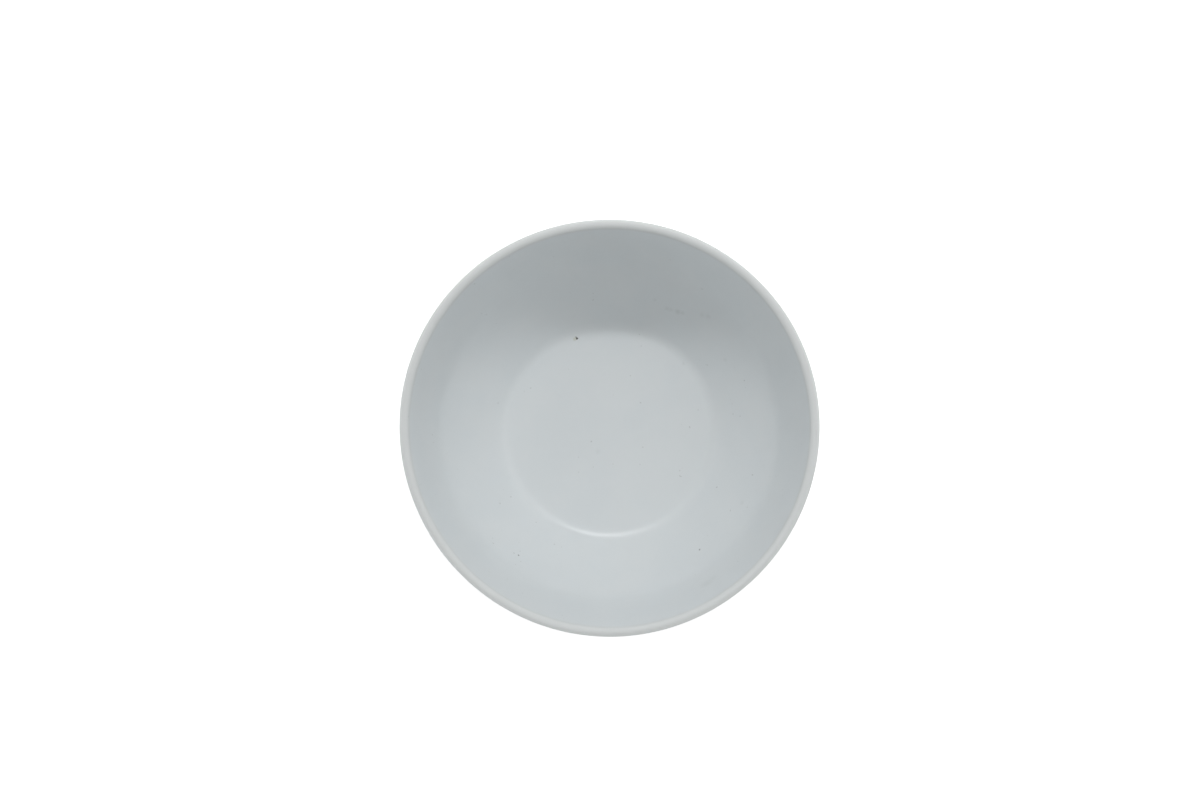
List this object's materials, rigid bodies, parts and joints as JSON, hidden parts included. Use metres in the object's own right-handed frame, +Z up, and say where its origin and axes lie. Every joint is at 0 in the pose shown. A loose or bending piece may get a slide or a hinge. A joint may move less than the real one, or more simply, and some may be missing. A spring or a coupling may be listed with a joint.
{
  "type": "dip bowl",
  "caption": "Round white glazed ceramic bowl with a rounded lip, a soft shoulder in its wall, a flat-bottomed well and a low foot ring, for dips, sauces and snacks.",
  "frame": {"origin": "centre of the foot ring's bearing face, on the surface that the bowl stands on", "axes": "+Z up along the bowl's axis of revolution, out of its mouth; X and Y are any two horizontal directions, because the bowl is round"},
  "size_m": [0.14, 0.14, 0.054],
  "materials": {
    "white_glaze": "gloss"
  },
  "bodies": {
    "root": {"bowl": "white_glaze"}
  },
  "joints": []
}
